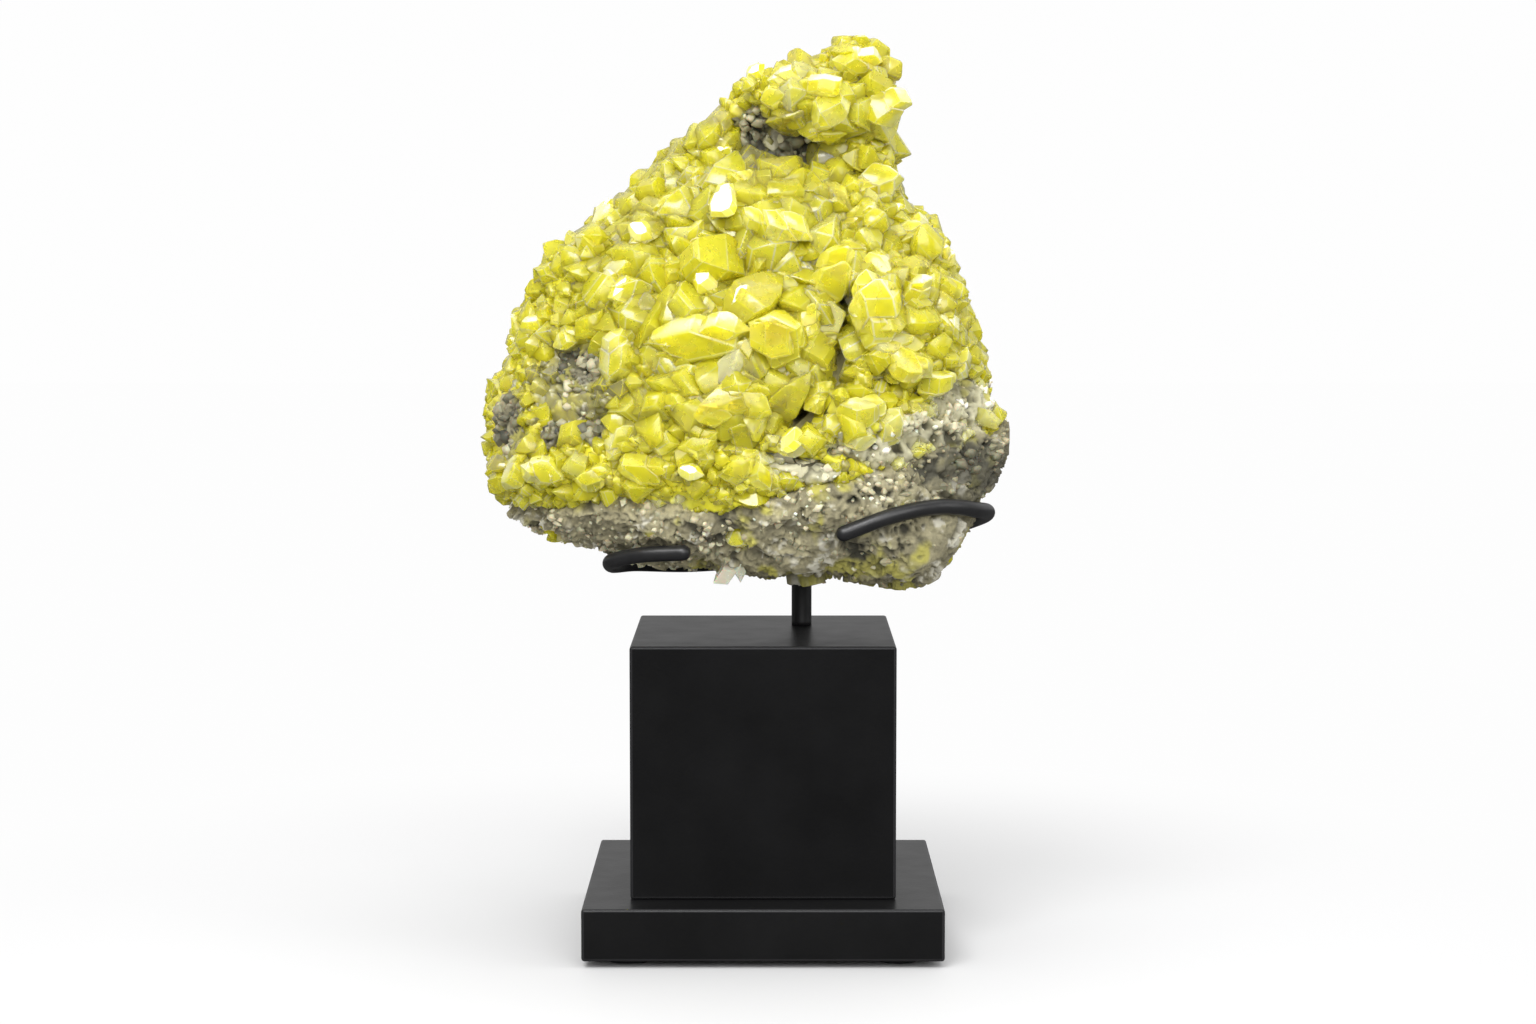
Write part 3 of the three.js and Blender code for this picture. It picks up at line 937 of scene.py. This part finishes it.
def scatter_tree():
    """Scatters crystals over a surface: even spacing, any direction, sunk partly into it."""
    tree = bpy.data.node_groups.new("scatter_crystals", "GeometryNodeTree")
    socket = tree.interface.new_socket
    socket("Geometry", in_out="OUTPUT", socket_type="NodeSocketGeometry")
    socket("Surface", in_out="INPUT", socket_type="NodeSocketGeometry")
    socket("Crystals", in_out="INPUT", socket_type="NodeSocketCollection")
    for label in ("Spacing", "Smallest", "Largest", "Sunk", "Darkest", "Palest"):
        socket(label, in_out="INPUT", socket_type="NodeSocketFloat")
    socket("Seed", in_out="INPUT", socket_type="NodeSocketInt")
    socket("Material", in_out="INPUT", socket_type="NodeSocketMaterial")
    add = node_maker(tree)
    given = add("NodeGroupInput").outputs
    room, growth, patch = (
        add("GeometryNodeInputNamedAttribute", {"data_type": "FLOAT"}, Name=name).outputs[0]
        for name in ("room", "growth", "tint"))
    spread = add("GeometryNodeDistributePointsOnFaces", {"distribute_method": "POISSON"},
                 Mesh=given["Surface"], Distance_Min=given["Spacing"], Density_Max=2.0e6,
                 Density_Factor=room, Seed=given["Seed"])
    chosen = add("FunctionNodeRandomValue", {"data_type": "FLOAT"}, i2=0.0, i3=1.0, Seed=given["Seed"])
    mostly_small = maths(add, "POWER", chosen.outputs[1], 1.8)
    grown = maths(add, "MULTIPLY", scaled(add, mostly_small, given["Smallest"], given["Largest"]), growth)
    stretch = add("FunctionNodeRandomValue", {"data_type": "FLOAT_VECTOR"}, i0=(0.78, 0.78, 0.85),
                  i1=(1.2, 1.2, 1.4), Seed=11)
    size = add("ShaderNodeVectorMath", {"operation": "SCALE"}, i0=stretch.outputs[0], Scale=grown)
    turn = add("FunctionNodeRandomValue", {"data_type": "FLOAT_VECTOR"}, i1=(2 * math.pi,) * 3)
    shape = add("GeometryNodeCollectionInfo", Collection=given["Crystals"])
    shape.inputs["Separate Children"].default_value = True
    shape.inputs["Reset Children"].default_value = True
    tone = add("FunctionNodeRandomValue", {"data_type": "FLOAT"}, i2=given["Darkest"],
               i3=given["Palest"], Seed=7)
    toned = maths(add, "ADD", tone.outputs[1], patch)
    down = maths(add, "MULTIPLY", grown, given["Sunk"])
    up = add("ShaderNodeVectorMath", {"operation": "SCALE"}, i0=spread.outputs["Normal"], Scale=down)
    raised = add("GeometryNodeSetPosition", Geometry=spread.outputs["Points"], Offset=up.outputs[0])
    coloured = add("GeometryNodeStoreNamedAttribute", {"data_type": "FLOAT", "domain": "POINT"},
                   Geometry=raised.outputs[0], Name="tone", Value=toned)
    placed = add("GeometryNodeInstanceOnPoints", Points=coloured.outputs[0], Instance=shape.outputs[0],
                 Rotation=turn.outputs[0], Scale=size.outputs[0])
    placed.inputs["Pick Instance"].default_value = True
    whole = add("GeometryNodeRealizeInstances", Geometry=placed.outputs[0])
    finished = add("GeometryNodeSetMaterial", Geometry=whole.outputs[0], Material=given["Material"])
    add("NodeGroupOutput", Geometry=finished.outputs[0])
    return tree


def scatter(name, ground, tree, node, slot, **settings):
    """One mesh of crystals scattered over the ground with the tree's named inputs."""
    thing = new_object(name, ground)
    spread = thing.modifiers.new("scatter", "NODES")
    spread.node_group = tree
    for item in tree.interface.items_tree:
        label = item.name.lower()
        if item.in_out == "INPUT" and label in settings:
            spread[item.identifier] = settings[label]
    mesh = applied(thing)
    mesh.name = name
    move_to(mesh, arrays(mesh)[0])
    piece = new_object(name, mesh, settings["material"])
    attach(piece, "root")
    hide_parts(node)


scatter_crystals = scatter_tree()
medium_crystals = crystal_set("medium_crystal", count=10, rounding=0.15, blunts=(0.68, 0.85, 0.76, 0.95, 1.1))
small_crystals = crystal_set("small_crystal", count=10, rounding=0.0, blunts=(0.75, 0.9, 1.1))
scatter("medium_sulfur_crystals", whole_crust, scatter_crystals, "sulfur_crust", "sulfur",
        crystals=medium_crystals, spacing=4.5 * MM, smallest=7.5 * MM, largest=16.0 * MM, sunk=-0.10,
        darkest=0.26, palest=0.72, seed=3, material=crystal_wax)
scatter("small_sulfur_crystals", whole_crust, scatter_crystals, "sulfur_crust", "sulfur",
        crystals=small_crystals, spacing=2.7 * MM, smallest=3.4 * MM, largest=7.0 * MM, sunk=-0.14,
        darkest=0.10, palest=0.80, seed=5, material=crystal_wax)

# The largest crystals of the face, each with its own place and lie: x, z, length, width, turn in
# degrees and tone, from 0 for olive to 1 for the palest.
large_crystals = [
    (-12, 177, 25, 15, 0, 0.50), (8, 177, 23, 17, -28, 0.46), (25, 193, 20, 14, 35, 0.40),
    (9, 209, 17, 11, -25, 0.74), (39, 221, 15, 12, 15, 0.66), (26, 217, 13, 9, -50, 0.30),
    (30, 202, 14, 8, -25, 0.60), (47, 207, 11, 9, 20, 0.75), (57, 197, 11, 9, 60, 0.40),
    (12, 199, 10, 8, 10, 0.82), (12, 192, 9, 7, -20, 0.75), (21, 201, 9, 7, 70, 0.85),
    (21, 207, 9, 6, 30, 0.58), (-2, 169, 13, 9, 60, 0.97), (-36, 171, 14, 11, 75, 0.66),
    (-16, 167, 11, 8, 20, 0.58), (-19, 160, 11, 8, -15, 0.52), (-4, 160, 19, 13, 15, 0.46),
    (-28, 181, 8, 6, 80, 0.20), (-26, 187, 9, 7, 10, 0.24),
    (38, 186, 17, 15, 80, 0.60), (40, 174, 11, 9, 0, 0.84), (45, 170, 13, 11, -60, 0.44),
    (54, 164, 10, 8, 20, 0.60), (58, 180, 10, 8, -70, 0.62), (61, 171, 10, 8, 60, 0.70),
    (32, 168, 10, 7, 20, 0.52), (20, 162, 12, 10, 30, 0.60), (32, 156, 12, 10, -10, 0.72),
    (41, 154, 11, 9, 60, 0.80), (48, 156, 10, 8, -30, 0.78), (32, 150, 9, 8, 0, 0.84),
    (2, 159, 14, 12, -40, 0.50), (18, 182, 11, 9, 60, 0.48), (25, 179, 11, 9, -60, 0.46),
    (14, 147, 10, 7, 0, 0.80), (31, 256, 13, 10, 0, 0.55), (20, 249, 13, 9, 10, 0.48),
    (13, 251, 10, 8, -20, 0.62), (25, 242, 14, 12, 75, 0.74), (39, 243, 12, 11, 20, 0.60),
    (38, 252, 11, 9, -50, 0.66), (22, 236, 9, 8, 30, 0.60), (41, 236, 9, 7, 80, 0.50),
    (9, 246, 9, 8, 10, 0.55), (-50, 177, 9, 7, 30, 0.62), (-40, 210, 11, 9, 60, 0.46),
    (-44, 203, 10, 8, -20, 0.42), (-35, 196, 11, 9, 0, 0.50), (-60, 180, 9, 7, 50, 0.58),
    (-56, 140, 11, 9, -30, 0.62), (-64, 138, 10, 8, 40, 0.60), (-43, 138, 10, 8, 10, 0.48),
    (-29, 141, 12, 9, -25, 0.50), (-35, 150, 11, 8, 35, 0.56), (-1, 142, 11, 8, 10, 0.42),
    (-13, 148, 11, 8, 20, 0.50), (-23, 149, 12, 9, -10, 0.56), (5, 139, 10, 8, -60, 0.50),
    (-20, 196, 11, 9, 20, 0.44), (-14, 203, 12, 8, 40, 0.62), (-22, 214, 10, 8, 30, 0.50),
    (-14, 220, 10, 7, 35, 0.58), (2, 221, 11, 7, -10, 0.56), (14, 218, 10, 8, 20, 0.48),
    (16, 225, 10, 7, -20, 0.44), (34, 212, 10, 8, 0, 0.52), (40, 196, 11, 9, -35, 0.56),
    (49, 190, 10, 8, 30, 0.48), (52, 214, 9, 8, 70, 0.60), (-31, 188, 10, 8, 0, 0.48),
    (-8, 184, 9, 7, 10, 0.40), (-2, 201, 11, 8, 15, 0.56), (3, 194, 9, 7, -30, 0.42),
]
# Crystals that happen to turn a clean face to the light: x, z, length, width and turn.
bright_crystals = [
    (-5, 213, 10, 9, 50), (-10, 192, 9, 8, 65), (0, 187, 8, 7, 60), (-29, 206, 8, 7, -30),
    (-14, 139, 7.5, 5.5, -15), (-19, 186, 7, 6, 20), (22, 218, 7, 5, -30), (-6, 230, 6, 5, 0),
    (25, 205, 7, 6, 70), (4, 252, 7, 6, 40), (22, 247, 6, 5, 0), (44, 213, 6, 5, 10),
    (38, 170, 6, 5, 40), (-34, 189, 8, 7, 60), (2, 199, 6, 5, 20), (14, 148, 8, 6, 70),
]
tilt_range = 0.30
# How far a crystal's middle stands out of the crust, in its own depths, and how round its edges are.
crystal_lift, bright_lift = 0.12, 0.648
crystal_rounding, bright_rounding = 0.13, 0.05
# A longer one has smaller ones fused into its flanks: size, and offset along it and across it.
fused = [(1.0, 0.0, 0.0), (0.72, 0.28, 0.22), (0.62, -0.30, -0.24)]
one_twin_from, two_twins_from = 9, 16


def surface_at(tree, x, z):
    """Where a line from the front meets the surface, and which way it faces there."""
    place, normal, _, _ = tree.ray_cast(Vector((x, -120, z)) * MM, Vector((0, 1, 0)))
    if place is None:
        place, normal, _, _ = tree.find_nearest(Vector((x, -15, z)) * MM)
    return place, normal


crust_shape = shape_of(whole_crust)
crust_tree = BVHTree.FromBMesh(crust_shape)
crust_shape.free()


def placed_crystals(name, crystals, to_the_light):
    """One mesh of crystals set on the crust one by one, each with those fused to it."""
    lift = bright_lift if to_the_light else crystal_lift
    rounding = bright_rounding if to_the_light else crystal_rounding
    whole_shape = bmesh.new()
    tone = whole_shape.verts.layers.float.new("tone")
    for x, z, length, width, turn, shade in crystals:
        place, normal = surface_at(crust_tree, x, z)
        outward = (normal * 0.5 + Vector((0, -0.5, 0.1))).normalized()
        lean = Euler([chance.uniform(-tilt_range, tilt_range) for _ in range(3)]).to_matrix()
        if to_the_light:
            outward = ((key_place - place).normalized() + (eye - place).normalized()).normalized()
            lean = Matrix.Identity(3)
        angle = math.radians(turn)
        along = Vector((math.cos(angle), 0, math.sin(angle)))
        along = (along - outward * along.dot(outward)).normalized()
        facing = Matrix((outward, outward.cross(along), along)).transposed() @ lean
        depth = width * chance.uniform(0.75, 0.95)
        centre = place + outward * depth * lift * MM
        side = chance.choice((-1, 1))
        twins = int(length > one_twin_from) + int(length > two_twins_from)
        for share, ahead, across in fused[:1 + twins]:
            mesh = crystal_shape("large_crystal", rounding, chance.choice((0.8, 0.95, 1.1)),
                                 waxy=not to_the_light, flat=chance.uniform(0.4, 0.7), steps=2)
            spans = [max(v.co[i] for v in mesh.vertices) * 2 for i in range(3)]
            sizes = (depth * (0.35 + 0.65 * share), width * share, length * share)
            stretch = Matrix.Diagonal([size * MM / span for size, span in zip(sizes, spans)])
            offset = Vector((0.05 * depth, across * side * width, ahead * side * length))
            offset = facing @ offset * MM * (share < 1)
            first = len(whole_shape.verts)
            whole_shape.from_mesh(mesh)
            whole_shape.verts.ensure_lookup_table()
            for corner in whole_shape.verts[first:]:
                corner.co = centre + offset + facing @ (stretch @ corner.co)
                corner[tone] = shade
            bpy.data.meshes.remove(mesh)
    mesh = finished_mesh(name, whole_shape)
    move_to(mesh, arrays(mesh)[0])
    return mesh


glassy = sulfur("glassy_sulfur", roughness=0.12, depth=5.0, clearness=0.3, ripple=0.02, bending=1.95)
for name, crystals, finish in (
    ("large_sulfur_crystals", large_crystals, crystal_wax),
    ("bright_sulfur_crystals", [(*crystal, 0.8) for crystal in bright_crystals], glassy),
):
    mesh = placed_crystals(name, crystals, finish == glassy)
    group = new_object(name, mesh, finish)
    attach(group, "root")
    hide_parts("sulfur_crust")

# --- Crumbs on the rock ---
# The bare rock is crusted with loose-looking grains: dark glittering ones in the hollows of the face,
# pale calcite and grey-brown limestone ones along the rim and below it.


def grain_material():
    made, add = material("calcite_and_rock_grains")
    veil = noise(add, 500.0, 4.0)
    cloudy = scaled(add, veil, -0.08, 0.08, start=0.3, end=0.7)
    tone = maths(add, "ADD", marked(add, "tone"), cloudy)
    colour = tone_row(add, tone, (
        (0.00, (0.056, 0.054, 0.037, 1)),
        (0.30, (0.170, 0.162, 0.097, 1)),
        (0.55, (0.38, 0.35, 0.22, 1)),
        (0.80, (0.60, 0.56, 0.38, 1)),
        (1.00, (0.80, 0.78, 0.68, 1)),
    ))
    surface(add, Base_Color=colour, Roughness=scaled(add, veil, 0.35, 0.75), Subsurface_Weight=0.25,
            Subsurface_Scale=1.5 * MM, Normal=relief(add, veil, 0.3, 0.0003))
    return made


def rock_room():
    """The rock's surface, with how thickly grains lie on it."""
    mesh = rock.data.copy()
    places, normals = arrays(mesh)
    cover, bare, _, worn = stone_facts(places, normals)
    shown = 1 - cover * (1 - bare)
    front = ease(-places[:, 1], -30, 5)
    rim = ease(places[:, 2] - 0.28 * places[:, 0], 112, 124)
    clumps = ease(clouds(places, 7, 131), -0.5, 0.3)
    clumped = shown * (0.25 + 0.75 * np.maximum(clumps, bare))
    store(mesh, "room", np.clip(clumped * (0.12 + 0.88 * np.maximum(front * rim, bare)), 0, 1))
    # The grains are also painted darker at the rim's lower right corner, as painted shade.
    tint = 0.16 * rim + 0.22 * clouds(places, 8, 137) - 0.30 * bare - 0.42 * painted_shade_share(places)
    store(mesh, "tint", tint + 0.25 * worn)
    store(mesh, "growth", 1 + 0.7 * bare)
    return mesh


scatter("rock_grains", rock_room(), scatter_crystals, "matrix_rock", "matrix_rock", crystals=small_crystals,
        spacing=2.0 * MM, smallest=1.1 * MM, largest=3.6 * MM, sunk=-0.12, darkest=0.22, palest=0.66, seed=9,
        material=grain_material())

# --- Calcite ---
# A small pale calcite rhomb and its twin, hanging from a cavity under the rim.


def calcite_material():
    made, add = material("honey_calcite")
    veil = noise(add, 300.0, 4.0)
    tone = colour_mix(add, veil, (0.60, 0.565, 0.41, 1), (0.80, 0.775, 0.63, 1))
    surface(add, Base_Color=tone, Roughness=scaled(add, veil, 0.1, 0.4), IOR=1.6, Transmission_Weight=0.35,
            Subsurface_Weight=0.4, Subsurface_Scale=3 * MM, Normal=relief(add, veil, 0.15, 0.0003))
    return made


rhomb = node_shape("calcite_crystal")
bmesh.ops.dissolve_limit(rhomb, angle_limit=math.radians(2), verts=rhomb.verts, edges=rhomb.edges)
bmesh.ops.bevel(rhomb, geom=rhomb.edges[:], offset=0.15 * MM, segments=2, profile=0.5, affect="EDGES")
calcite = new_object("calcite_rhomb", finished_mesh("calcite_rhomb", rhomb), calcite_material())
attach(calcite, "root")
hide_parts("calcite_crystal")
